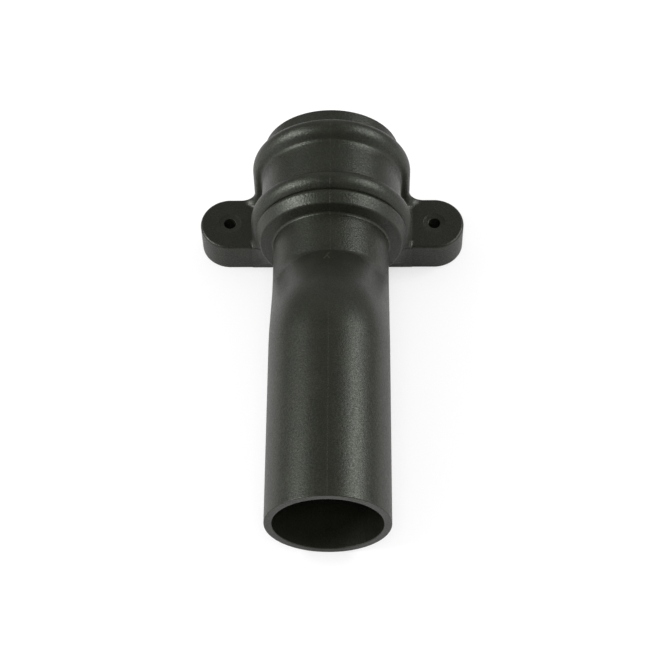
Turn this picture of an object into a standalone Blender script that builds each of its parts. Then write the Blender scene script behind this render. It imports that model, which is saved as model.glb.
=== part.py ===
"""Eared plinth offset for a 68 mm round rainwater pipe, one moulded piece.

Metres, +Z up. The wall is the plane y = 0, the room in front of it is -Y, and the pipe
runs down along -Z. The origin lies on the wall, midway between the two fixing screws.
"""
import math

import bmesh
import bpy
from mathutils import Vector

# Pipe line
SPIGOT_RADIUS = 0.0340      # outside, slides into the next 68 mm socket
TUBE_WALL = 0.0043
NECK_STEP = 0.00025         # the neck is this much wider than the spigot
OFFSET = 0.0300             # spigot axis stands this far in front of the socket axis
BEND_ANGLE = math.radians(33.0)
BEND_CLEARANCE = 0.00375    # inside of each bend, from the neck's skin to the bend's centre
SPIGOT_LENGTH = 0.1050      # straight tube below the lower bend
NECK_LENGTH = 0.0259        # straight tube between the upper bend and the socket

# Socket
SOCKET_STEP = 0.0080        # barrel's skin beyond the spigot's
BACK_SPACE = 0.0060         # barrel's back to the wall
BEAD_PROJECTION = 0.0061    # upper bead, beyond the barrel
BEAD_HALF_HEIGHT = 0.0063
BEAD_UNDER_HEIGHT = 0.0069  # upper bead, below its crest
FOOT_TURN = math.radians(65)  # the bead turns in this far, then sweeps out to the barrel
BEAD_SPACING = 0.0381       # crest of the upper bead to crest of the ridge
LIP_STEP = 0.00045          # small lip where the upper bead meets the barrel
LIP_HEIGHT = 0.0010
RIDGE_PROJECTION = 0.0062
RIDGE_HALF_HEIGHT = 0.0066  # lower side of the ridge
RIDGE_FOOT = 0.0014         # slope from the ridge up to the barrel
ROLL_PROJECTION = 0.0031    # slanting roll under the ridge, beyond the barrel
ROLL_BELOW_RIDGE = 0.0088
ROLL_ROUND = 0.0024         # radius of the roll's crest
ROLL_SLOPE = math.radians(23)
ROLL_CORNER = 0.0013        # round corner from the roll to the underside
UNDERSIDE_DROP = 0.0157     # from the ridge's crest down to the underside's outer edge
UNDERSIDE_SLOPE = 0.0008    # the underside falls this much towards the neck
NECK_FILLET = 0.0015
COLLAR_INSET = 0.0008       # plain rim above the upper bead, inside the barrel's skin
COLLAR_HEIGHT = 0.0094
RIM_ROUND = 0.0006
PIPE_CLEARANCE = 0.0010     # socket bore, beyond a spigot's skin
STOP_FLOOR = 0.0075         # flat underside up to the stop that the pipe's end meets
LEAD_IN = 0.0020

# Ears
RIDGE_DROP = 0.0186         # screw's centre down to the crest of the ridge, just under the ears' lower edge
EAR_REACH = 0.0212          # screw's centre beyond the barrel
EAR_RADIUS = 0.0182
EAR_THICKNESS = 0.0215
EAR_EDGE_ROUND = 0.0016
EAR_FILLET = 0.0090         # from the ear's face up to the cheek
FILLET_END = 0.0012         # what is left of that fillet at the ear's lower edge
SCREW_RADIUS = 0.0036
DIMPLE_RADIUS = 0.0066      # shallow seat for the screw's head
DIMPLE_DEPTH = 0.0003
DIMPLE_SLOPE = 0.0012

# Hollow back
WALL = 0.0040
BACK_WALL = 0.0060          # socket bore to hollow
BOSS_WALL = 0.0039          # round each screw

# Clearances and fineness
THROUGH = 0.0020            # a cutter runs this far past a face that it opens
SINK = 0.0003               # a fused piece ends this far inside its neighbour
MERGE = 0.00001             # points closer than this are one
FRONT_STEPS = 32
ARC_STEPS = 5
TUBE_SIDES = 48

# Derived radii
NECK_RADIUS = SPIGOT_RADIUS + NECK_STEP
BORE_RADIUS = SPIGOT_RADIUS - TUBE_WALL
BEND_RADIUS = NECK_RADIUS + BEND_CLEARANCE
BARREL_RADIUS = SPIGOT_RADIUS + SOCKET_STEP
AXIS_TO_WALL = BARREL_RADIUS + BACK_SPACE
ROLL_RADIUS = BARREL_RADIUS + ROLL_PROJECTION
COLLAR_RADIUS = BARREL_RADIUS - COLLAR_INSET
SOCKET_BORE_RADIUS = SPIGOT_RADIUS + PIPE_CLEARANCE
BOSS_RADIUS = SCREW_RADIUS + BOSS_WALL
SCREW_SPACING = 2 * (BARREL_RADIUS + EAR_REACH)

# Derived heights
LOWER_BEAD_Z = -RIDGE_DROP
UPPER_BEAD_Z = LOWER_BEAD_Z + BEAD_SPACING
UNDERSIDE_Z = LOWER_BEAD_Z - UNDERSIDE_DROP
RIM_Z = UPPER_BEAD_Z + BEAD_HALF_HEIGHT + COLLAR_HEIGHT
STOP_Z = UNDERSIDE_Z + STOP_FLOOR
NECK_END_Z = UNDERSIDE_Z - NECK_LENGTH
SLOPE_LENGTH = (OFFSET - 2 * BEND_RADIUS * (1 - math.cos(BEND_ANGLE))) / math.sin(BEND_ANGLE)
BEND_HEIGHT = 2 * BEND_RADIUS * math.sin(BEND_ANGLE) + SLOPE_LENGTH * math.cos(BEND_ANGLE)
SPIGOT_TOP_Z = NECK_END_Z - BEND_HEIGHT
MOUTH_Z = SPIGOT_TOP_Z - SPIGOT_LENGTH


def clear_scene():
    for obj in list(bpy.data.objects):
        bpy.data.objects.remove(obj, do_unlink=True)


def new_collection(name):
    collection = bpy.data.collections.new(name)
    bpy.context.scene.collection.children.link(collection)
    return collection


def add_object(name, mesh, collection):
    obj = bpy.data.objects.new(name, mesh)
    collection.objects.link(obj)
    return obj


def black_plastic():
    material = bpy.data.materials.new("black_plastic")
    material.use_nodes = True
    shader = material.node_tree.nodes["Principled BSDF"]
    shader.inputs["Base Color"].default_value = (0.022, 0.023, 0.018, 1.0)
    shader.inputs["Roughness"].default_value = 0.42
    shader.inputs["Metallic"].default_value = 0.0
    return material


def steps(first, last, count):
    """Evenly spaced values, both ends included."""
    return [first + (last - first) * i / count for i in range(count + 1)]


def socket_levels():
    """Radius and height up the socket's outside, from the neck to the rim."""
    levels = []
    for turn in steps(0, math.pi / 2, 3):
        levels.append((NECK_RADIUS + NECK_FILLET * (1 - math.cos(turn)) + SINK / 2,
                       UNDERSIDE_Z - UNDERSIDE_SLOPE - NECK_FILLET * (1 - math.sin(turn))))
    roll_z = LOWER_BEAD_Z - ROLL_BELOW_RIDGE
    slope_top = (ROLL_RADIUS - ROLL_ROUND * (1 - math.cos(ROLL_SLOPE)), roll_z - ROLL_ROUND * math.sin(ROLL_SLOPE))
    slope_foot = UNDERSIDE_Z + ROLL_CORNER * (1 - math.sin(ROLL_SLOPE))
    foot_radius = slope_top[0] - (slope_top[1] - slope_foot) * math.tan(ROLL_SLOPE)
    for turn in steps(-math.pi / 2, -ROLL_SLOPE, 3):
        levels.append((foot_radius - ROLL_CORNER * (math.cos(ROLL_SLOPE) - math.cos(turn)),
                       UNDERSIDE_Z + ROLL_CORNER * (1 + math.sin(turn))))
    for turn in steps(-ROLL_SLOPE, math.radians(62), 4):
        levels.append((ROLL_RADIUS - ROLL_ROUND * (1 - math.cos(turn)), roll_z + ROLL_ROUND * math.sin(turn)))
    for turn in steps(math.radians(-78), 0, 5):
        levels.append((BARREL_RADIUS + RIDGE_PROJECTION * math.cos(turn),
                       LOWER_BEAD_Z + RIDGE_HALF_HEIGHT * math.sin(turn)))
    for turn in steps(math.radians(20), math.radians(80), 3):
        levels.append((BARREL_RADIUS + RIDGE_PROJECTION * math.cos(turn),
                       LOWER_BEAD_Z + BEAD_HALF_HEIGHT * math.sin(turn)))
    levels.append((BARREL_RADIUS, LOWER_BEAD_Z + BEAD_HALF_HEIGHT + RIDGE_FOOT))
    foot_top = (BARREL_RADIUS + BEAD_PROJECTION * math.cos(FOOT_TURN),
                UPPER_BEAD_Z - BEAD_UNDER_HEIGHT * math.sin(FOOT_TURN))
    foot_out = foot_top[0] - BARREL_RADIUS - LIP_STEP
    foot_height = 2 * foot_out * BEAD_UNDER_HEIGHT / (BEAD_PROJECTION * math.tan(FOOT_TURN))
    levels.append((BARREL_RADIUS, foot_top[1] - foot_height - LIP_HEIGHT))
    for share in (1.0, 0.67, 0.33):
        levels.append((foot_top[0] - foot_out * (1 - (1 - share) ** 2), foot_top[1] - foot_height * share))
    for turn in steps(-FOOT_TURN, 0, 4):
        levels.append((BARREL_RADIUS + BEAD_PROJECTION * math.cos(turn),
                       UPPER_BEAD_Z + BEAD_UNDER_HEIGHT * math.sin(turn)))
    for turn in steps(math.radians(20), math.radians(80), 3):
        levels.append((BARREL_RADIUS + BEAD_PROJECTION * math.cos(turn),
                       UPPER_BEAD_Z + BEAD_HALF_HEIGHT * math.sin(turn)))
    return levels


def fillet_width(z):
    """How far the ear's fillet reaches out of the cheek: it fades above the ear, and towards its lower edge."""
    if z <= EAR_RADIUS:
        share = max(0.0, min(1.0, (z + EAR_RADIUS) / EAR_FILLET))
        return FILLET_END + (EAR_FILLET - FILLET_END) * share * share * (3 - 2 * share)
    fade = (z - EAR_RADIUS) / EAR_FILLET
    return EAR_FILLET * (1 - math.sqrt(max(0.0, 1 - (1 - min(1.0, fade)) ** 2)))


def ear_face(z):
    """Depth of the ear's face, falling away round its edge."""
    over = max(0.0, min(EAR_EDGE_ROUND, abs(z) - EAR_RADIUS + EAR_EDGE_ROUND))
    return -EAR_THICKNESS + EAR_EDGE_ROUND - math.sqrt(EAR_EDGE_ROUND ** 2 - over ** 2)


def cheek_outline(radius, z):
    """Right rear quarter of a section through the cheeks: straight back from the axis, then the ear's fillet."""
    out = fillet_width(z)
    face = ear_face(z)
    points = [(radius, -AXIS_TO_WALL), (radius, (face - out - AXIS_TO_WALL) / 2)]
    for turn in steps(0, math.radians(84), ARC_STEPS):
        points.append((radius + out * (1 - math.cos(turn)), face - out + out * math.sin(turn)))
    side = points[-1][0] + SINK
    points.append((side, face + 4 * SINK))
    points.append((side, -SINK))
    points += [(side * share, -SINK) for share in (0.72, 0.42, 0.16)]
    return points


def section(radius, z, cheek):
    """Closed outline at one height. cheek is 0 for a circle and 1 for straight cheeks back to the wall."""
    front = []
    for turn in steps(-math.pi / 2, math.pi / 2, FRONT_STEPS):
        front.append((radius * math.sin(turn), -AXIS_TO_WALL - radius * math.cos(turn)))
    quarter = cheek_outline(radius, z)
    reference = cheek_outline(BARREL_RADIUS, 0.0)
    rear = []
    for (x, y), (rx, ry) in zip(quarter, reference):
        turn = math.atan2(ry + AXIS_TO_WALL, rx)
        circle = (radius * math.cos(turn), -AXIS_TO_WALL + radius * math.sin(turn))
        rear.append((circle[0] + cheek * (x - circle[0]), circle[1] + cheek * (y - circle[1])))
    back = -AXIS_TO_WALL + radius + cheek * (AXIS_TO_WALL - radius - SINK)
    ring = front + rear[1:] + [(0.0, back)] + [(-x, y) for x, y in reversed(rear[1:])]
    return [Vector((x, y, z)) for x, y in ring]


def cheek_share(z):
    """The skirt under the lower bead is round at its foot and flares into the cheeks at the ears' lower side."""
    start = UNDERSIDE_Z + 0.3 * UNDERSIDE_DROP
    share = max(0.0, min(1.0, (z - start) / (LOWER_BEAD_Z - start)))
    return 1 - math.sqrt(1 - share ** 2)


def loft(name, sections, collection):
    """A closed body through rings of equal point count, lowest first, each running round the same way."""
    bm = bmesh.new()
    rings = [[bm.verts.new(point) for point in ring] for ring in sections]
    count = len(rings[0])
    for low, high in zip(rings, rings[1:]):
        for i in range(count):
            j = (i + 1) % count
            bm.faces.new((low[i], low[j], high[j], high[i]))
    bm.faces.new(list(reversed(rings[0])))
    bm.faces.new(rings[-1])
    bmesh.ops.recalc_face_normals(bm, faces=bm.faces)
    mesh = bpy.data.meshes.new(name)
    bm.to_mesh(mesh)
    bm.free()
    return add_object(name, mesh, collection)


def socket_body(collection):
    """Socket with its beads, its cheeks running back to the wall, and the plain round collar on top."""
    sections = []
    for radius, z in socket_levels():
        cheek = cheek_share(z) if z < LOWER_BEAD_Z else 1.0
        sections.append(section(radius, z, cheek))
    shoulder = UPPER_BEAD_Z + BEAD_HALF_HEIGHT
    sections.append(section(COLLAR_RADIUS, shoulder, 0.0))
    for turn in steps(0, math.pi / 2, 2):
        inset = RIM_ROUND * (1 - math.cos(turn))
        sections.append(section(COLLAR_RADIUS - inset, RIM_Z - RIM_ROUND * (1 - math.sin(turn)), 0.0))
    return loft("plinth_offset", sections, collection)


def pipe_line(top, bottom):
    """Centre line from inside the socket down through both bends and out of the mouth."""
    points = [Vector((0, -AXIS_TO_WALL, top))]
    y, z = -AXIS_TO_WALL, NECK_END_Z
    for turn in steps(0, BEND_ANGLE, 6):
        points.append(Vector((0, y - BEND_RADIUS * (1 - math.cos(turn)), z - BEND_RADIUS * math.sin(turn))))
    y, z = -AXIS_TO_WALL - OFFSET, SPIGOT_TOP_Z
    for turn in steps(BEND_ANGLE, 0, 6):
        points.append(Vector((0, y + BEND_RADIUS * (1 - math.cos(turn)), z + BEND_RADIUS * math.sin(turn))))
    points.append(Vector((0, y, bottom)))
    return points


def swept_tube(name, points, radius, end_radius, collection):
    """Round bar along a centre line, as a closed mesh."""
    curve = bpy.data.curves.new(name, "CURVE")
    curve.dimensions = "3D"
    curve.bevel_depth = radius
    curve.bevel_resolution = (TUBE_SIDES - 4) // 2
    curve.use_fill_caps = True
    spline = curve.splines.new("POLY")
    spline.points.add(len(points) - 1)
    taper_from = len(points) // 2
    for i, (spot, place) in enumerate(zip(spline.points, points)):
        spot.co = (*place, 1.0)
        spot.radius = 1.0 if i < taper_from else end_radius / radius
    source = bpy.data.objects.new(name + "_curve", curve)
    collection.objects.link(source)
    bpy.context.view_layer.update()
    evaluated = source.evaluated_get(bpy.context.evaluated_depsgraph_get())
    mesh = bpy.data.meshes.new_from_object(evaluated)
    bm = bmesh.new()
    bm.from_mesh(mesh)
    bmesh.ops.remove_doubles(bm, verts=bm.verts, dist=MERGE)
    bmesh.ops.recalc_face_normals(bm, faces=bm.faces)
    bm.to_mesh(mesh)
    bm.free()
    obj = add_object(name, mesh, collection)
    obj.matrix_world = source.matrix_world.copy()
    bpy.data.objects.remove(source, do_unlink=True)
    return obj


def turned(name, profile, collection, sides=48):
    """Solid of revolution about its own Z from (radius, height) pairs, top to bottom."""
    mesh = bpy.data.meshes.new(name)
    mesh.from_pydata([(r, 0, z) for r, z in profile], [(i, i + 1) for i in range(len(profile) - 1)], [])
    obj = add_object(name, mesh, collection)
    screw = obj.modifiers.new("turn", "SCREW")
    screw.steps = sides
    screw.render_steps = sides
    screw.use_merge_vertices = True
    screw.merge_threshold = MERGE
    return obj


def obround(name, half_length, radius, front, back, collection, segments=14):
    """Round-ended plate in the XZ plane between two depths in Y."""
    curve = bpy.data.curves.new(name, "CURVE")
    curve.dimensions = "2D"
    curve.fill_mode = "BOTH"
    curve.extrude = (back - front) / 2
    outline = []
    for turn in steps(-math.pi / 2, math.pi / 2, segments):
        outline.append((half_length + radius * math.cos(turn), radius * math.sin(turn)))
    outline += [(-x, -y) for x, y in outline]
    spline = curve.splines.new("POLY")
    spline.points.add(len(outline) - 1)
    for spot, (x, y) in zip(spline.points, outline):
        spot.co = (x, y, 0.0, 1.0)
    spline.use_cyclic_u = True
    source = bpy.data.objects.new(name + "_curve", curve)
    collection.objects.link(source)
    source.location = (0, (front + back) / 2, 0)
    source.rotation_euler = (math.pi / 2, 0, 0)
    bpy.context.view_layer.update()
    evaluated = source.evaluated_get(bpy.context.evaluated_depsgraph_get())
    mesh = bpy.data.meshes.new_from_object(evaluated)
    mesh.transform(source.matrix_world)
    bm = bmesh.new()
    bm.from_mesh(mesh)
    bmesh.ops.remove_doubles(bm, verts=bm.verts, dist=MERGE)
    bmesh.ops.dissolve_limit(bm, angle_limit=0.01, verts=bm.verts, edges=bm.edges)
    bmesh.ops.recalc_face_normals(bm, faces=bm.faces)
    bm.to_mesh(mesh)
    bm.free()
    bpy.data.objects.remove(source, do_unlink=True)
    return add_object(name, mesh, collection)


def ears(collection):
    """Both ears as one round-ended plate behind the socket, its front edge rounded."""
    obj = obround("ears", SCREW_SPACING / 2, EAR_RADIUS, -EAR_THICKNESS, 0.0, collection)
    bm = bmesh.new()
    bm.from_mesh(obj.data)
    front = [e for e in bm.edges if all(abs(v.co.y + EAR_THICKNESS) < MERGE for v in e.verts)]
    bmesh.ops.bevel(bm, geom=front, offset=EAR_EDGE_ROUND, segments=3, profile=0.5, affect="EDGES")
    bm.to_mesh(obj.data)
    bm.free()
    return obj


def cylinder_y(name, x, y_from, y_to, radius, collection, sides=24):
    bm = bmesh.new()
    bmesh.ops.create_cone(bm, cap_ends=True, segments=sides, radius1=radius, radius2=radius, depth=y_to - y_from)
    mesh = bpy.data.meshes.new(name)
    bm.to_mesh(mesh)
    bm.free()
    obj = add_object(name, mesh, collection)
    obj.rotation_euler = (math.pi / 2, 0, 0)
    obj.location = (x, (y_from + y_to) / 2, 0)
    return obj


def box(name, low, high, collection):
    bm = bmesh.new()
    bmesh.ops.create_cube(bm, size=1.0)
    for vert in bm.verts:
        for axis in range(3):
            vert.co[axis] = low[axis] + (vert.co[axis] + 0.5) * (high[axis] - low[axis])
    mesh = bpy.data.meshes.new(name)
    bm.to_mesh(mesh)
    bm.free()
    return add_object(name, mesh, collection)


def combine(target, tool, operation):
    modifier = target.modifiers.new(tool.name, "BOOLEAN")
    modifier.operation = operation
    modifier.solver = "EXACT"
    modifier.object = tool


def hollow_back(collection):
    """Open back of the ears and of the cheeks, less the socket's round wall and the two screw bosses."""
    floor = -(EAR_THICKNESS - WALL)
    hollow = obround("back_hollow", SCREW_SPACING / 2, EAR_RADIUS - WALL, floor, THROUGH, collection, segments=10)
    reach = BARREL_RADIUS + BEAD_PROJECTION - WALL
    top = UPPER_BEAD_Z + BEAD_HALF_HEIGHT - WALL
    middle = box("cheek_hollow", (-reach, floor, 0.0), (reach, THROUGH, top), collection)
    combine(hollow, middle, "UNION")
    keep = turned("socket_keep", [(0, RIM_Z), (SOCKET_BORE_RADIUS + BACK_WALL, RIM_Z),
                                  (SOCKET_BORE_RADIUS + BACK_WALL, UNDERSIDE_Z), (0, UNDERSIDE_Z)], collection, 64)
    keep.location = (0, -AXIS_TO_WALL, 0)
    combine(hollow, keep, "DIFFERENCE")
    for side in (-1, 1):
        boss = cylinder_y("boss_keep", side * SCREW_SPACING / 2, -EAR_THICKNESS, 2 * THROUGH, BOSS_RADIUS, collection)
        combine(hollow, boss, "DIFFERENCE")
    return hollow


def screw_hole(side, collection):
    """Clearance hole through the ear with a shallow seat for the screw's head."""
    face = EAR_THICKNESS
    profile = [(0, face + THROUGH), (DIMPLE_RADIUS, face + THROUGH), (DIMPLE_RADIUS, face),
               (DIMPLE_RADIUS - DIMPLE_SLOPE, face - DIMPLE_DEPTH), (SCREW_RADIUS, face - DIMPLE_DEPTH),
               (SCREW_RADIUS, -THROUGH), (0, -THROUGH)]
    cutter = turned("screw_hole", profile, collection, 24)
    cutter.rotation_euler = (math.pi / 2, 0, 0)
    cutter.location = (side * SCREW_SPACING / 2, 0, 0)
    return cutter


def socket_bore(collection):
    """Pipe socket down to the stop, widened at the rim so that the pipe finds its way in."""
    wide = SOCKET_BORE_RADIUS + LEAD_IN
    profile = [(0, RIM_Z + THROUGH), (wide, RIM_Z + THROUGH), (wide, RIM_Z), (SOCKET_BORE_RADIUS, RIM_Z - LEAD_IN * 2),
               (SOCKET_BORE_RADIUS, STOP_Z), (0, STOP_Z)]
    cutter = turned("socket_bore", profile, collection, TUBE_SIDES)
    cutter.location = (0, -AXIS_TO_WALL, 0)
    return cutter


def main():
    clear_scene()
    part = new_collection("plinth_offset_part")
    tools = new_collection("cutters")
    body = socket_body(part)
    tube = swept_tube("tube", pipe_line(STOP_Z, MOUTH_Z), NECK_RADIUS, SPIGOT_RADIUS, tools)
    waterway = swept_tube("waterway", pipe_line(STOP_Z + 2 * THROUGH, MOUTH_Z - THROUGH), BORE_RADIUS, BORE_RADIUS, tools)
    combine(body, tube, "UNION")
    combine(body, ears(tools), "UNION")
    combine(body, waterway, "DIFFERENCE")
    combine(body, socket_bore(tools), "DIFFERENCE")
    combine(body, hollow_back(tools), "DIFFERENCE")
    for side in (-1, 1):
        combine(body, screw_hole(side, tools), "DIFFERENCE")
    body.data.materials.append(black_plastic())
    body.data.shade_smooth()
    body.data.set_sharp_from_angle(angle=math.radians(30))
    for tool in tools.objects:
        tool.hide_render = True
        tool.display_type = "WIRE"


main()
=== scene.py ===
import math

import bpy
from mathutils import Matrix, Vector


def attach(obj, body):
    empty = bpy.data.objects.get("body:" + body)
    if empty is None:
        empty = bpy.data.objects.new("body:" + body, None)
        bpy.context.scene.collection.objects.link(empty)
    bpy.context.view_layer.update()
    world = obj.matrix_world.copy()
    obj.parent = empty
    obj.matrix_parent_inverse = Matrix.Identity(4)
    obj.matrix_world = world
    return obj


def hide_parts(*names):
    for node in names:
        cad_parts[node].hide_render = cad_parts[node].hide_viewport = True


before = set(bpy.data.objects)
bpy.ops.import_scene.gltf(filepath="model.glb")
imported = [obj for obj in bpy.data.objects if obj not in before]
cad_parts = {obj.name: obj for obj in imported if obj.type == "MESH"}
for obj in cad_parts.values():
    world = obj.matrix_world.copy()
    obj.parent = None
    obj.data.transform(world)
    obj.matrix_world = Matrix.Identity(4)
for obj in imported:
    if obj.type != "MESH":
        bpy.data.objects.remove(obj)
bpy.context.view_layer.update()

# Rainwater plinth offset: one black moulding, seen lying on its back from below and in front of its mouth.


def linear(hexColour):
    # sRGB hex to the linear values that the shader wants
    parts = [int(hexColour[i:i + 2], 16) / 255 for i in (1, 3, 5)]
    return [c / 12.92 if c <= 0.04045 else ((c + 0.055) / 1.055) ** 2.4 for c in parts] + [1.0]


def addNode(tree, kind, settings=None, links=None):
    # settings: attribute or input name to value; links: input name or number to an output socket
    node = tree.nodes.new(kind)
    for name, value in (settings or {}).items():
        if isinstance(name, int) or name in node.inputs:
            node.inputs[name].default_value = value
        else:
            setattr(node, name, value)
    for name, socket in (links or {}).items():
        tree.links.new(socket, node.inputs[name])
    return node


def mapRange(tree, value, source, target, smooth=False):
    # value carried over from the source range to the target range
    node = addNode(tree, "ShaderNodeMapRange", {"interpolation_type": "SMOOTHSTEP" if smooth else "LINEAR",
                                                "From Min": source[0], "From Max": source[1],
                                                "To Min": target[0], "To Max": target[1]}, {"Value": value})
    return node.outputs[0]


def newMaterial(name):
    material = bpy.data.materials.new(name)
    material.use_nodes = True
    material.node_tree.nodes.clear()
    return material


def seenRays(tree):
    # 1 for the rays that show a picture: from the camera, in gloss and through glass
    path = addNode(tree, "ShaderNodeLightPath")
    seen = path.outputs["Is Camera Ray"]
    for kind in ("Is Glossy Ray", "Is Transmission Ray"):
        seen = addNode(tree, "ShaderNodeMath", {"operation": "ADD", "use_clamp": True},
                       {0: seen, 1: path.outputs[kind]}).outputs[0]
    return path, seen


# Camera of the photograph, fitted to the outlines measured on it.
photoCamera = {
    "place": (0.01725, -0.96547, -0.66490),
    "turn": (121.7953, -0.3475, 0.7860),  # degrees about X, Y, Z
    "lens": 100.82,                       # mm
    "sensor": 36.0,                       # mm wide
}

cameraData = bpy.data.cameras.new("photoCamera")
cameraData.lens = photoCamera["lens"]
cameraData.sensor_width = photoCamera["sensor"]
cameraData.dof.use_dof = False
camera = bpy.data.objects.new("photoCamera", cameraData)
camera.location = photoCamera["place"]
camera.rotation_euler = [math.radians(a) for a in photoCamera["turn"]]
bpy.context.scene.collection.objects.link(camera)
bpy.context.scene.camera = camera
print("camera set")

# Black uPVC with a fine spark-eroded grain from the mould: satin, its highlights break up into
# fine sparkle, and the dark body has a slight olive cast.
plastic = {
    "body": "#1f2019",
    "bodyDark": "#191a14",
    "bodyRange": (0.3, 0.7),         # of the mottle's noise, from dark to light
    "mottle": 8.75,                  # mm
    "mottleNoise": (3.0, 0.55),      # detail and roughness of the noise
    "sheen": "#fafff4",              # the gloss is faintly olive too
    "ior": 1.50,
    "roughness": (0.32, 0.46),
    "roughRange": (0.3, 0.7),        # of the grain's noise
    "grain": 0.7,                    # mm, coarser than the real 0.2 mm grain, so that it shows
    "grainNoise": (2.0, 0.6),
    "grainDepth": 0.09,              # mm
    "grainRise": (-0.078, -0.056),   # metres up, from where to where the grain deepens
    "grainSocket": 2.2,              # times as deep on neck and socket
    "sparkle": 0.50,                 # mm
    "sparkleNoise": (1.0, 0.5),
    "sparkleRange": (0.35, 0.65),    # of the sparkle's noise
    "sparkleLevel": (0.40, 0.62),    # of the gloss
    "noiseCells": 1.6,               # noise cells to one pattern size
    "seamWidth": 0.45,               # mm, half width of the mould's parting line
    "seamDepth": 0.065,              # mm
    "scuff": "#30312a",
    "scuffWidth": 0.7,               # mm, half width of the small scuff in the crease under the socket
    "scuffDepth": 0.10,              # mm
    "scuffs": (((-0.0004, -0.0843, -0.0646), (-0.0034, -0.0888, -0.0718)),
               ((-0.0017, -0.0864, -0.0678), (0.0000, -0.0886, -0.0712))),
}


def noise(tree, place, pattern):
    # the noise of the grain, the sparkle or the mottle, with its pattern's real size
    detail, roughness = plastic[pattern + "Noise"]
    scale = 1000 / plastic[pattern] / plastic["noiseCells"]
    node = addNode(tree, "ShaderNodeTexNoise", {"Scale": scale, "Detail": detail, "Roughness": roughness},
                   {"Vector": place})
    return node.outputs["Fac"]


def raised(tree, height, depth, below=None):
    # a mark of this depth in mm, raised over what is bumped already
    links = {"Height": height}
    if below is not None:
        links["Normal"] = below
    node = addNode(tree, "ShaderNodeBump", {"Strength": 1.0, "Distance": depth / 1000}, links)
    return node.outputs[0]


def seamMask(tree, x):
    # the parting line: a fine raised line where the mould's halves met, all along the middle
    fromMiddle = addNode(tree, "ShaderNodeMath", {"operation": "ABSOLUTE"}, {0: x})
    return mapRange(tree, fromMiddle.outputs[0], (0.0, plastic["seamWidth"] / 1000), (1.0, 0.0), True)


def strokeMask(tree, place, ends):
    # 1 along the straight stroke between two points, falling to 0 at the scuff's half width
    first, last = Vector(ends[0]), Vector(ends[1])
    along = last - first
    fromFirst = addNode(tree, "ShaderNodeVectorMath", {"operation": "SUBTRACT", 1: first}, {0: place})
    reach = addNode(tree, "ShaderNodeVectorMath", {"operation": "DOT_PRODUCT", 1: along / along.length_squared},
                    {0: fromFirst.outputs[0]})
    share = addNode(tree, "ShaderNodeClamp", {}, {"Value": reach.outputs["Value"]})
    nearest = addNode(tree, "ShaderNodeVectorMath", {"operation": "SCALE", 0: along},
                      {"Scale": share.outputs[0]})
    apart = addNode(tree, "ShaderNodeVectorMath", {"operation": "DISTANCE"},
                    {0: fromFirst.outputs[0], 1: nearest.outputs[0]})
    return mapRange(tree, apart.outputs["Value"], (0.0, plastic["scuffWidth"] / 1000), (1.0, 0.0), True)


def blackPlastic():
    material = newMaterial("blackMouldedPlastic")
    tree = material.node_tree
    place = addNode(tree, "ShaderNodeTexCoord").outputs["Object"]
    axes = addNode(tree, "ShaderNodeSeparateXYZ", {}, {"Vector": place})
    grain, sparkle, mottle = (noise(tree, place, pattern) for pattern in ("grain", "sparkle", "mottle"))
    gloss = mapRange(tree, sparkle, plastic["sparkleRange"], plastic["sparkleLevel"])
    rough = mapRange(tree, grain, plastic["roughRange"], plastic["roughness"])

    colour = addNode(tree, "ShaderNodeValToRGB", {}, {"Fac": mottle})
    for stop, level, shade in zip(colour.color_ramp.elements, plastic["bodyRange"], ("bodyDark", "body")):
        stop.position = level
        stop.color = linear(plastic[shade])
    strokes = [strokeMask(tree, place, ends) for ends in plastic["scuffs"]]
    scuff = addNode(tree, "ShaderNodeMath", {"operation": "MAXIMUM"}, {0: strokes[0], 1: strokes[1]}).outputs[0]
    scuffed = addNode(tree, "ShaderNodeMix", {"data_type": "RGBA", 7: linear(plastic["scuff"])},
                      {0: scuff, 6: colour.outputs["Color"]})

    seamBump = raised(tree, seamMask(tree, axes.outputs["X"]), plastic["seamDepth"])
    scuffBump = raised(tree, scuff, plastic["scuffDepth"], seamBump)
    rise = mapRange(tree, axes.outputs["Z"], plastic["grainRise"], (1 / plastic["grainSocket"], 1.0))
    bump = addNode(tree, "ShaderNodeBump", {"Distance": plastic["grainDepth"] * plastic["grainSocket"] / 1000},
                   {"Height": grain, "Normal": scuffBump, "Strength": rise})
    shader = addNode(tree, "ShaderNodeBsdfPrincipled", {"IOR": plastic["ior"], "Metallic": 0.0,
                                                        "Specular Tint": linear(plastic["sheen"])},
                     {"Base Color": scuffed.outputs[2], "Roughness": rough, "Normal": bump.outputs[0],
                      "Specular IOR Level": gloss})
    addNode(tree, "ShaderNodeOutputMaterial", {}, {"Surface": shader.outputs[0]})
    return material


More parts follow.
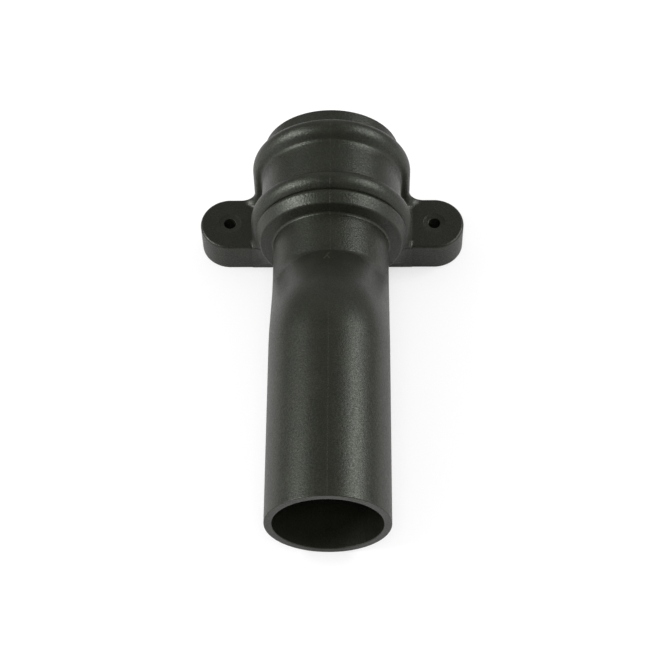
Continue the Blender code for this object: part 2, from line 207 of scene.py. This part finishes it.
# The moulding, in metres and in the wall's frame: wall at y = 0, room towards -y, socket up, mouth down.
moulding = {
    # pipe
    "spigotRadius": 0.0340, "neckRadius": 0.03425, "boreRadius": 0.0297, "mouthRound": 0.0005,
    "spigotLength": 0.1050, "neckLength": 0.0259, "neckPlaces": (0.010, 0.004),  # above the neck's end
    "offset": 0.0300, "bendAngle": 33.0, "bendRadius": 0.0380,
    # socket, its beads, the ridge and the slanting roll below it
    "axisToWall": 0.0480, "barrelRadius": 0.0420, "barrelStart": 0.0014,
    "upperBead": 0.0195, "beadProjection": 0.0061, "beadHalf": 0.0063, "beadUnder": 0.0069, "footTurn": 65.0,
    "lipStep": 0.00045, "lipHeight": 0.0010,
    "lowerBead": -0.0186, "ridgeProjection": 0.0062, "ridgeHalf": 0.0066, "grooveTurn": 78.0,
    "rollRadius": 0.0451, "rollBelowRidge": 0.0088, "rollRound": 0.0024, "rollTurn": 62.0,
    "rollSlope": 23.0, "rollCorner": 0.0013,
    "crownTurns": (6.0, 80.0),       # degrees, from where to where a bead's upper half is drawn
    "undersideDrop": 0.0157, "undersideSlope": 0.0008, "neckFillet": 0.0015,
    "cheekStart": 0.3,               # share of the underside's drop at which the cheeks begin
    "collarRadius": 0.0412, "collarHeight": 0.0094, "rimRound": 0.0006,
    "socketBore": 0.0350, "socketDepth": 0.0620, "leadIn": 0.0020, "leadInEdge": 0.0004,
    # ears with their screw holes
    "screwSpacing": 0.1264, "earRadius": 0.0182, "earThickness": 0.0215, "earRound": 0.0016,
    "earFillet": 0.0090, "filletEnd": 0.0012, "filletTurn": 84.0,
    "wallPlaces": (0.86, 0.72, 0.57, 0.42, 0.28, 0.14),  # shares of the way out, where the wall side has points
    "screwRadius": 0.0036, "dimpleRadius": 0.0066, "dimpleDepth": 0.0003, "dimpleSlope": 0.0012,
    "dimpleEdge": 0.0004, "holeEdge": 0.0005, "softEdge": 0.0001,
    # hollow back
    "wall": 0.0040, "backWall": 0.0060, "bossRadius": 0.0075,
    # how far tools reach past a face, how far joined pieces sink in, and what counts as one point
    "through": 0.0020, "sink": 0.0003, "weld": 0.000005,
    "smoothAngle": 32.0, "shadingWeight": 60,
}
# how finely it is drawn: sides of what is round all about, steps of each arc or run
sides = {"tube": 192, "ears": 160, "hollow": 64, "hole": 48}
steps = {
    "neckFillet": 8, "underside": 9, "roll": 5, "rollCrest": 12, "ridgeUnder": 15, "ridgeCrown": 12,
    "barrel": 6, "foot": 7, "beadUnder": 14, "beadCrown": 13, "rim": 6,
    "front": 128, "cheek": 16, "earFillet": 18, "earSide": 5, "earRound": 7,
    "bend": 20, "spigot": 8, "mouth": 5,
}
m = moulding
bend = math.radians(m["bendAngle"])
undersideZ = m["lowerBead"] - m["undersideDrop"]
rimZ = m["upperBead"] + m["beadHalf"] + m["collarHeight"]
stopZ = rimZ - m["socketDepth"]
neckEnd = undersideZ - m["neckLength"]
slopeLength = (m["offset"] - 2 * m["bendRadius"] * (1 - math.cos(bend))) / math.sin(bend)
spigotTop = neckEnd - 2 * m["bendRadius"] * math.sin(bend) - slopeLength * math.cos(bend)
mouthZ = spigotTop - m["spigotLength"]


def spread(first, last, count):
    # evenly spaced values, both ends among them
    return [first + (last - first) * i / count for i in range(count + 1)]


def only(piece):
    # selects this piece alone
    bpy.ops.object.select_all(action="DESELECT")
    piece.select_set(True)
    bpy.context.view_layer.objects.active = piece


def tidyMesh(piece):
    # double points merged and all faces turned outwards
    only(piece)
    bpy.ops.object.mode_set(mode="EDIT")
    bpy.ops.mesh.select_all(action="SELECT")
    bpy.ops.mesh.remove_doubles(threshold=m["weld"])
    bpy.ops.mesh.normals_make_consistent(inside=False)
    bpy.ops.object.mode_set(mode="OBJECT")


def beadArc(projection, halfHeight, middle, turns, count):
    # radius and height along a bead's round, between two angles from its middle
    return [(m["barrelRadius"] + projection * math.cos(a), middle + halfHeight * math.sin(a))
            for a in spread(math.radians(turns[0]), math.radians(turns[1]), count)]


def neckAndRollLevels():
    # neck fillet, sloping underside, round corner, slanting roll and its crest
    levels = [(m["neckRadius"] + m["neckFillet"] * (1 - math.cos(a)) + m["sink"] / 2,
               undersideZ - m["undersideSlope"] - m["neckFillet"] * (1 - math.sin(a)))
              for a in spread(0, math.pi / 2, steps["neckFillet"])]
    rollZ, slope = m["lowerBead"] - m["rollBelowRidge"], math.radians(m["rollSlope"])
    slopeTop = (m["rollRadius"] - m["rollRound"] * (1 - math.cos(slope)),
                rollZ - m["rollRound"] * math.sin(slope))
    slopeFoot = undersideZ + m["rollCorner"] * (1 - math.sin(slope))
    footRadius = slopeTop[0] - (slopeTop[1] - slopeFoot) * math.tan(slope)
    for a in spread(-math.pi / 2, -slope, steps["underside"]):
        levels.append((footRadius - m["rollCorner"] * (math.cos(slope) - math.cos(a)),
                       undersideZ + m["rollCorner"] * (1 + math.sin(a))))
    for share in spread(0, 1, steps["roll"])[1:-1]:
        levels.append((footRadius + (slopeTop[0] - footRadius) * share,
                       slopeFoot + (slopeTop[1] - slopeFoot) * share))
    for a in spread(-slope, math.radians(m["rollTurn"]), steps["rollCrest"]):
        levels.append((m["rollRadius"] - m["rollRound"] * (1 - math.cos(a)),
                       rollZ + m["rollRound"] * math.sin(a)))
    return levels


def footLevels():
    # the swept foot of the upper bead, which starts at the small lip
    turn = math.radians(m["footTurn"])
    footTop = (m["barrelRadius"] + m["beadProjection"] * math.cos(turn),
               m["upperBead"] - m["beadUnder"] * math.sin(turn))
    footOut = footTop[0] - m["barrelRadius"] - m["lipStep"]
    lipTop = footTop[1] - 2 * footOut * m["beadUnder"] / (m["beadProjection"] * math.tan(turn))
    levels = [(m["barrelRadius"] + m["lipStep"] + footOut * share ** 2, lipTop + (footTop[1] - lipTop) * share)
              for share in spread(0, 1, steps["foot"])[:-1]]
    return lipTop, levels


def socketLevels():
    # radius and height up the outside, from the neck to the top of the upper bead
    ridge, lower = m["ridgeProjection"], m["lowerBead"]
    bead, upper = m["beadProjection"], m["upperBead"]
    lipTop, foot = footLevels()
    barrelFoot = lower + m["beadHalf"] + m["barrelStart"]
    levels = neckAndRollLevels()
    levels += beadArc(ridge, m["ridgeHalf"], lower, (-m["grooveTurn"], 0), steps["ridgeUnder"])
    levels += beadArc(ridge, m["beadHalf"], lower, m["crownTurns"], steps["ridgeCrown"])
    levels += [(m["barrelRadius"], z) for z in spread(barrelFoot, lipTop - m["lipHeight"], steps["barrel"])]
    levels += foot
    levels += beadArc(bead, m["beadUnder"], upper, (-m["footTurn"], 0), steps["beadUnder"])
    levels += beadArc(bead, m["beadHalf"], upper, m["crownTurns"], steps["beadCrown"])
    return levels


def filletWidth(z):
    # the ear's fillet is full along the ear, and fades above it and towards its lower edge
    if z <= m["earRadius"]:
        share = max(0.0, min(1.0, (z + m["earRadius"]) / m["earFillet"]))
        return m["filletEnd"] + (m["earFillet"] - m["filletEnd"]) * share * share * (3 - 2 * share)
    fade = min(1.0, (z - m["earRadius"]) / m["earFillet"])
    return m["earFillet"] * (1 - math.sqrt(max(0.0, 1 - (1 - fade) ** 2)))


def earFace(z):
    # how far out the ear's face stands at this height, with its rounded edges
    over = max(0.0, min(m["earRound"], abs(z) - m["earRadius"] + m["earRound"]))
    return -m["earThickness"] + m["earRound"] - math.sqrt(m["earRound"] ** 2 - over ** 2)


def cheekLine(radius, z):
    # right rear quarter: straight back from the axis, the ear's fillet, down its side, then in along the wall
    out, face = filletWidth(z), earFace(z)
    line = [(radius, y) for y in spread(-m["axisToWall"], face - out, steps["cheek"])][:-1]
    for a in spread(0, math.radians(m["filletTurn"]), steps["earFillet"]):
        line.append((radius + out * (1 - math.cos(a)), face - out + out * math.sin(a)))
    side, corner = line[-1][0] + m["sink"], face + 4 * m["sink"]
    line += [(side, y) for y in spread(corner, -m["sink"], steps["earSide"])]
    line += [(side * share, -m["sink"]) for share in m["wallPlaces"]]
    return line


def ringPoints(radius, z, cheek):
    # cheek 0 is a plain circle, 1 has straight cheeks back to the wall
    front = [(radius * math.sin(a), -m["axisToWall"] - radius * math.cos(a))
             for a in spread(-math.pi / 2, math.pi / 2, steps["front"])]
    rear = []
    for (x, y), (rx, ry) in zip(cheekLine(radius, z), cheekLine(m["barrelRadius"], 0.0)):
        a = math.atan2(ry + m["axisToWall"], rx)
        cx, cy = radius * math.cos(a), -m["axisToWall"] + radius * math.sin(a)
        rear.append((cx + cheek * (x - cx), cy + cheek * (y - cy)))
    back = -m["axisToWall"] + radius + cheek * (m["axisToWall"] - radius - m["sink"])
    ring = front + rear[1:] + [(0.0, back)] + [(-x, y) for x, y in reversed(rear[1:])]
    return [(x, y, z) for x, y in ring]


def cheekShare(z):
    # 0 below where the cheeks begin, 1 at the ridge's middle
    start = undersideZ + m["cheekStart"] * m["undersideDrop"]
    share = max(0.0, min(1.0, (z - start) / (m["lowerBead"] - start)))
    return 1 - math.sqrt(1 - share ** 2)


def socketShell():
    # a fine sheet rolled up ring by ring into the beaded socket, its ends then filled
    foot = socketLevels()[0]
    rings = [ringPoints(m["boreRadius"] - m["through"], foot[1], 0.0)]
    rings += [ringPoints(r, z, cheekShare(z) if z < m["lowerBead"] else 1.0) for r, z in socketLevels()]
    rings.append(ringPoints(m["collarRadius"], m["upperBead"] + m["beadHalf"], 0.0))
    for a in spread(0, math.pi / 2, steps["rim"]):
        rings.append(ringPoints(m["collarRadius"] - m["rimRound"] * (1 - math.cos(a)),
                                rimZ - m["rimRound"] * (1 - math.sin(a)), 0.0))
    rings.append(ringPoints(m["socketBore"] - m["through"], rimZ, 0.0))
    across, up = len(rings[0]), len(rings)
    bpy.ops.mesh.primitive_grid_add(x_subdivisions=across, y_subdivisions=up - 1, size=1.0)
    piece = bpy.context.active_object
    piece.name = "socketShell"
    order = sorted(piece.data.vertices, key=lambda vertex: (round(vertex.co.y, 6), round(vertex.co.x, 6)))
    for place, vertex in enumerate(order):
        level, step = divmod(place, across + 1)
        vertex.co = rings[level][step % across]
    tidyMesh(piece)
    bpy.ops.object.mode_set(mode="EDIT")
    bpy.ops.mesh.select_all(action="DESELECT")
    bpy.ops.mesh.select_non_manifold(extend=False)
    bpy.ops.mesh.fill_holes(sides=0)
    bpy.ops.mesh.select_all(action="SELECT")
    bpy.ops.mesh.normals_make_consistent(inside=False)
    bpy.ops.object.mode_set(mode="OBJECT")
    return piece


def pipeLine(top, bottom, endRound):
    # centre line through both bends; each point carries its height and its share of the end's rounding
    points = [((0, -m["axisToWall"], top), 0.0)]
    points += [((0, -m["axisToWall"], neckEnd + above), 0.0) for above in m["neckPlaces"]]
    y, z = -m["axisToWall"], neckEnd
    for a in spread(0, bend, steps["bend"]):
        points.append(((0, y - m["bendRadius"] * (1 - math.cos(a)), z - m["bendRadius"] * math.sin(a)), 0.0))
    y, z = -m["axisToWall"] - m["offset"], spigotTop
    for a in spread(bend, 0, steps["bend"]):
        points.append(((0, y + m["bendRadius"] * (1 - math.cos(a)), z + m["bendRadius"] * math.sin(a)), 0.0))
    points += [((0, y, h), 0.0) for h in spread(z, bottom + abs(endRound), steps["spigot"])[1:]]
    if endRound:
        points += [((0, y, bottom + abs(endRound) * (1 - math.sin(a))), 1 - math.cos(a))
                   for a in spread(0, math.pi / 2, steps["mouth"])[1:]]
    return points


def sweptBar(name, points, radius, endRadius, endRound):
    # a round bar along the points: the first radius down to the upper bend's end, then the second
    upperPoints = 1 + len(m["neckPlaces"]) + steps["bend"] + 1
    bpy.ops.curve.primitive_bezier_circle_add(radius=radius)
    outline = bpy.context.active_object
    outline.data.resolution_u = sides["tube"] // len(outline.data.splines[0].bezier_points)
    bpy.ops.curve.primitive_bezier_curve_add()
    bar = bpy.context.active_object
    bar.name = name
    curve = bar.data
    curve.splines.clear()
    curve.dimensions = "3D"
    curve.fill_mode = "FULL"
    curve.bevel_mode = "OBJECT"
    curve.bevel_object = outline
    curve.use_fill_caps = True
    spline = curve.splines.new("POLY")
    spline.points.add(len(points) - 1)
    for i, (spot, (place, share)) in enumerate(zip(spline.points, points)):
        here = radius if i < upperPoints else endRadius
        spot.co = (*place, 1.0)
        spot.radius = (here - endRound * share) / radius
    only(bar)
    bpy.ops.object.convert(target="MESH")
    bpy.ops.object.transform_apply(location=True, rotation=True, scale=True)
    bar = bpy.context.active_object
    bpy.data.objects.remove(outline, do_unlink=True)
    tidyMesh(bar)
    return bar


def turnedPiece(name, profile, around, centre, alongY=False):
    # profile of (radius, height) pairs drawn point by point, spun round its axis
    bpy.ops.mesh.primitive_plane_add(size=0.001)
    piece = bpy.context.active_object
    piece.name = name
    bpy.ops.object.mode_set(mode="EDIT")
    bpy.ops.mesh.select_all(action="SELECT")
    bpy.ops.mesh.merge(type="CENTER")
    radius, height = profile[0]
    bpy.ops.transform.translate(value=(radius, 0, height))
    for (r0, h0), (r1, h1) in zip(profile, profile[1:]):
        bpy.ops.mesh.extrude_region_move(TRANSFORM_OT_translate={"value": (r1 - r0, 0, h1 - h0)})
    bpy.ops.mesh.select_all(action="SELECT")
    bpy.ops.mesh.spin(steps=around, angle=2 * math.pi, center=(0, 0, 0), axis=(0, 0, 1))
    bpy.ops.object.mode_set(mode="OBJECT")
    tidyMesh(piece)
    if alongY:
        piece.rotation_euler = (math.pi / 2, 0, 0)
    piece.location = centre
    bpy.ops.object.transform_apply(location=True, rotation=True, scale=True)
    return piece


def roundEnded(name, radius, front, back, roundFront, around):
    # a cylinder pulled apart in its middle into a long round-ended plate
    bpy.ops.object.select_all(action="DESELECT")
    bpy.ops.mesh.primitive_cylinder_add(vertices=around, radius=radius, depth=back - front,
                                        location=(0, (front + back) / 2, 0), rotation=(math.pi / 2, 0, 0))
    piece = bpy.context.active_object
    piece.name = name
    bpy.ops.object.transform_apply(location=True, rotation=True, scale=True)
    for side in (-1, 1):
        bpy.ops.object.mode_set(mode="EDIT")
        bpy.ops.mesh.select_all(action="DESELECT")
        bpy.ops.object.mode_set(mode="OBJECT")
        for vertex in piece.data.vertices:
            vertex.select = vertex.co.x * side > 2 * m["weld"]
        bpy.ops.object.mode_set(mode="EDIT")
        bpy.ops.transform.translate(value=(side * m["screwSpacing"] / 2, 0, 0))
        bpy.ops.object.mode_set(mode="OBJECT")
    if roundFront:
        bpy.ops.object.mode_set(mode="EDIT")
        bpy.ops.mesh.select_mode(type="EDGE")
        bpy.ops.mesh.select_all(action="DESELECT")
        bpy.ops.object.mode_set(mode="OBJECT")
        for edge in piece.data.edges:
            edge.select = all(abs(piece.data.vertices[v].co.y - front) < 2 * m["weld"] for v in edge.vertices)
        bpy.ops.object.mode_set(mode="EDIT")
        bpy.ops.mesh.bevel(offset=roundFront, segments=steps["earRound"], profile=0.5)
        bpy.ops.mesh.select_mode(type="VERT")
        bpy.ops.object.mode_set(mode="OBJECT")
    tidyMesh(piece)
    return piece


def combine(target, tool, operation):
    # joins the tool to the target or cuts it out, and uses it up
    only(target)
    modifier = target.modifiers.new("join", "BOOLEAN")
    modifier.operation = operation
    modifier.solver = "MANIFOLD"
    modifier.object = tool
    bpy.ops.object.modifier_apply(modifier=modifier.name)
    bpy.data.objects.remove(tool, do_unlink=True)


def backHollow():
    # open back of the ears and cheeks, less the socket's round wall and the screw bosses
    floor = -(m["earThickness"] - m["wall"])
    hollow = roundEnded("backHollow", m["earRadius"] - m["wall"], floor, m["through"], 0, sides["hollow"])
    reach = m["barrelRadius"] + m["beadProjection"] - m["wall"]
    top = m["upperBead"] + m["beadHalf"] - m["wall"]
    bpy.ops.mesh.primitive_cube_add(size=1.0, location=(0, (floor + m["through"]) / 2, top / 2),
                                    scale=(2 * reach, m["through"] - floor, top))
    cheeks = bpy.context.active_object
    bpy.ops.object.transform_apply(location=True, rotation=True, scale=True)
    combine(hollow, cheeks, "UNION")
    keep = m["socketBore"] + m["backWall"]
    kept = turnedPiece("socketKeep", [(0, rimZ), (keep, rimZ), (keep, undersideZ), (0, undersideZ)],
                       sides["tube"], (0, -m["axisToWall"], 0))
    combine(hollow, kept, "DIFFERENCE")
    for side in (-1, 1):
        out, front, back = m["bossRadius"], m["earThickness"], -2 * m["through"]
        boss = turnedPiece("bossKeep", [(0, front), (out, front), (out, back), (0, back)],
                           sides["hole"], (side * m["screwSpacing"] / 2, 0, 0), True)
        combine(hollow, boss, "DIFFERENCE")
    return hollow


def screwHole(side):
    # clearance hole with a shallow seat for the screw's head, its edges a little soft
    face, floor = m["earThickness"], m["earThickness"] - m["dimpleDepth"]
    mouth, soft = m["dimpleRadius"] + m["dimpleEdge"], m["softEdge"]
    profile = [(0, face + m["through"]), (mouth, face + m["through"]), (mouth, face),
               (m["dimpleRadius"] + soft, face - soft), (m["dimpleRadius"] - m["dimpleSlope"], floor),
               (m["screwRadius"] + m["holeEdge"], floor), (m["screwRadius"] + soft, floor - 2 * soft),
               (m["screwRadius"], floor - m["holeEdge"] - soft), (m["screwRadius"], -m["through"]),
               (0, -m["through"])]
    return turnedPiece("screwHole", profile, sides["hole"], (side * m["screwSpacing"] / 2, 0, 0), True)


def socketBore():
    # bore down to the stop, widened at the rim so that the pipe finds its way in
    wide, edge = m["socketBore"] + m["leadIn"], m["leadInEdge"]
    profile = [(0, rimZ + m["through"]), (wide + edge, rimZ + m["through"]), (wide + edge, rimZ),
               (wide, rimZ - edge), (m["socketBore"], rimZ - m["leadIn"] * 2), (m["socketBore"], stopZ), (0, stopZ)]
    return turnedPiece("socketBore", profile, sides["tube"], (0, -m["axisToWall"], 0))


offset = socketShell()
print("socket shell", len(offset.data.polygons))
mouthRound = m["mouthRound"]
tube = sweptBar("pipe", pipeLine(stopZ, mouthZ, mouthRound), m["neckRadius"], m["spigotRadius"], mouthRound)
waterway = sweptBar("waterway", pipeLine(stopZ + 2 * m["through"], mouthZ, mouthRound)
                    + [((0, -m["axisToWall"] - m["offset"], mouthZ - m["through"]), 1.0)],
                    m["boreRadius"], m["boreRadius"], -mouthRound)
combine(offset, tube, "UNION")
ears = roundEnded("ears", m["earRadius"], -m["earThickness"], 0.0, m["earRound"], sides["ears"])
combine(offset, ears, "UNION")
print("pipe and ears joined", len(offset.data.polygons))
combine(offset, waterway, "DIFFERENCE")
combine(offset, socketBore(), "DIFFERENCE")
combine(offset, backHollow(), "DIFFERENCE")
for side in (-1, 1):
    combine(offset, screwHole(side), "DIFFERENCE")
print("bored and hollowed", len(offset.data.polygons))

offset.name = "plinthOffset"
offset.data.name = "plinthOffset"
offset.data.materials.clear()
offset.data.materials.append(blackPlastic())
only(offset)
bpy.ops.object.shade_smooth_by_angle(angle=math.radians(m["smoothAngle"]))
weigh = offset.modifiers.new("evenShading", "WEIGHTED_NORMAL")
weigh.keep_sharp = True
weigh.weight = m["shadingWeight"]
bpy.ops.object.modifier_apply(modifier=weigh.name)
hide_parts("plinth_offset")
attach(offset, "root")
print("moulding finished", sum(len(f.vertices) - 2 for f in offset.data.polygons), "triangles")

studio = {
    "socketRest": (0.0, -0.0209),      # y and z where the socket's lower back lies on the table
    "mouthRest": (-0.0440, -0.2339),   # and the back of the mouth
    "floorColour": "#ffffff",
    "floorSize": 6.0,                  # metres
    "glowToCamera": 0.6,               # near the object, where its shadow lies
    "glowReach": (0.28, 0.55),         # metres from there to where the table is plain white
    "dimInGloss": 0.3,
    "worldLight": 0.55,
    "aim": (0.0, -0.05, -0.09),
    # place, width and height in metres, watts, whether the gloss shows it
    "softBoxes": {
        "rightBox": ((1.22, -1.10, 0.22), (0.70, 1.25), 15.0, True),
        "leftBox": ((-1.24, -1.00, -0.20), (0.60, 0.95), 17.5, True),
        "fill": ((0.0, -0.97, -0.62), (0.3, 0.3), 2.8, False),
        "backFill": ((-0.45, 1.25, 0.35), (0.9, 0.9), 16.0, False),
    },
    # place, width and height in metres, shade
    "cards": {
        "leftCard": ((-1.70, -0.10, 1.10), (2.2, 2.2), "#828282"),
        "rightCard": ((1.70, -0.10, 1.10), (2.2, 2.2), "#828282"),
        "ceiling": ((0.0, -2.10, -0.10), (3.2, 5.0), "#505050"),
        "backCard": ((0.0, -1.00, 1.90), (4.0, 3.2), "#9c9c9c"),
        "frontCard": ((0.0, -1.00, -2.10), (4.0, 3.2), "#3a3a3a"),
    },
}


def floorPaint():
    # white sweep that keeps the object's soft shadow: white to the camera, dimmer in gloss, clear from behind
    material = newMaterial("whiteSweep")
    tree = material.node_tree
    path, seen = seenRays(tree)
    toCamera = path.outputs["Is Camera Ray"]
    behind = addNode(tree, "ShaderNodeNewGeometry").outputs["Backfacing"]
    shown = addNode(tree, "ShaderNodeMath", {"operation": "SUBTRACT", "use_clamp": True},
                    {0: seen, 1: behind})
    place = addNode(tree, "ShaderNodeTexCoord").outputs["Object"]
    away = addNode(tree, "ShaderNodeVectorMath", {"operation": "LENGTH"}, {0: place})
    cameraShare = mapRange(tree, away.outputs["Value"], studio["glowReach"],
                           (studio["glowToCamera"], 1.0), True)
    share = addNode(tree, "ShaderNodeMix", {"data_type": "FLOAT", 2: studio["dimInGloss"]},
                    {0: toCamera, 3: cameraShare})
    paint = addNode(tree, "ShaderNodeBsdfDiffuse", {"Color": linear(studio["floorColour"])})
    glow = addNode(tree, "ShaderNodeEmission", {"Color": (1, 1, 1, 1)}, {"Strength": toCamera})
    white = addNode(tree, "ShaderNodeMixShader", {},
                    {0: share.outputs[0], 1: paint.outputs[0], 2: glow.outputs[0]})
    clear = addNode(tree, "ShaderNodeBsdfTransparent")
    out = addNode(tree, "ShaderNodeMixShader", {},
                  {0: shown.outputs[0], 1: clear.outputs[0], 2: white.outputs[0]})
    addNode(tree, "ShaderNodeOutputMaterial", {}, {"Surface": out.outputs[0]})
    return material


def tableTop():
    # the table of the photograph: it touches the socket's lower back and the back of the mouth
    y0, z0 = studio["socketRest"]
    y1, z1 = studio["mouthRest"]
    lean = math.atan2(y0 - y1, z0 - z1)
    bpy.ops.object.select_all(action="DESELECT")
    bpy.ops.mesh.primitive_plane_add(size=studio["floorSize"], location=(0, (y0 + y1) / 2, (z0 + z1) / 2),
                                     rotation=(math.pi / 2 - lean, 0, 0))
    plane = bpy.context.active_object
    plane.name = "tableTop"
    plane.data.materials.append(floorPaint())


def aimed(place, axis):
    # turned from this place towards the object, with this axis
    return (Vector(studio["aim"]) - Vector(place)).to_track_quat(axis, "Y").to_euler()


def softBox(name, place, size, power, inGloss):
    light = bpy.data.lights.new(name, "AREA")
    light.shape = "RECTANGLE"
    light.size, light.size_y = size
    light.energy = power
    lamp = bpy.data.objects.new(name, light)
    lamp.location = place
    lamp.rotation_euler = aimed(place, "-Z")
    lamp.visible_glossy = inGloss
    bpy.context.scene.collection.objects.link(lamp)


def card(name, place, size, shade):
    # a card that only the gloss sees: it keeps the dark parts of the sheen dark, as the room's dim side does
    bpy.ops.object.select_all(action="DESELECT")
    bpy.ops.mesh.primitive_plane_add(size=1.0, location=(0, 0, 0))
    plane = bpy.context.active_object
    plane.name = name
    plane.scale = (size[0], size[1], 1.0)
    plane.location = place
    plane.rotation_euler = aimed(place, "Z")
    material = newMaterial(name + "Paint")
    tree = material.node_tree
    glow = addNode(tree, "ShaderNodeEmission", {"Color": linear(shade), "Strength": 1.0})
    addNode(tree, "ShaderNodeOutputMaterial", {}, {"Surface": glow.outputs[0]})
    plane.data.materials.append(material)
    plane.visible_camera = False
    plane.visible_diffuse = False
    plane.visible_shadow = False
    plane.visible_transmission = False


tableTop()
for name, setting in studio["softBoxes"].items():
    softBox(name, *setting)
for name, setting in studio["cards"].items():
    card(name, *setting)

world = bpy.data.worlds.new("studioWorld")
bpy.context.scene.world = world
world.use_nodes = True
tree = world.node_tree
tree.nodes.clear()
seen = seenRays(tree)[1]
light = addNode(tree, "ShaderNodeBackground", {"Color": (1, 1, 1, 1), "Strength": studio["worldLight"]})
white = addNode(tree, "ShaderNodeBackground", {"Color": (1, 1, 1, 1), "Strength": 1.0})
mix = addNode(tree, "ShaderNodeMixShader", {}, {0: seen, 1: light.outputs[0], 2: white.outputs[0]})
addNode(tree, "ShaderNodeOutputWorld", {}, {"Surface": mix.outputs[0]})
bpy.context.scene.view_settings.view_transform = "Standard"
print("studio lit")
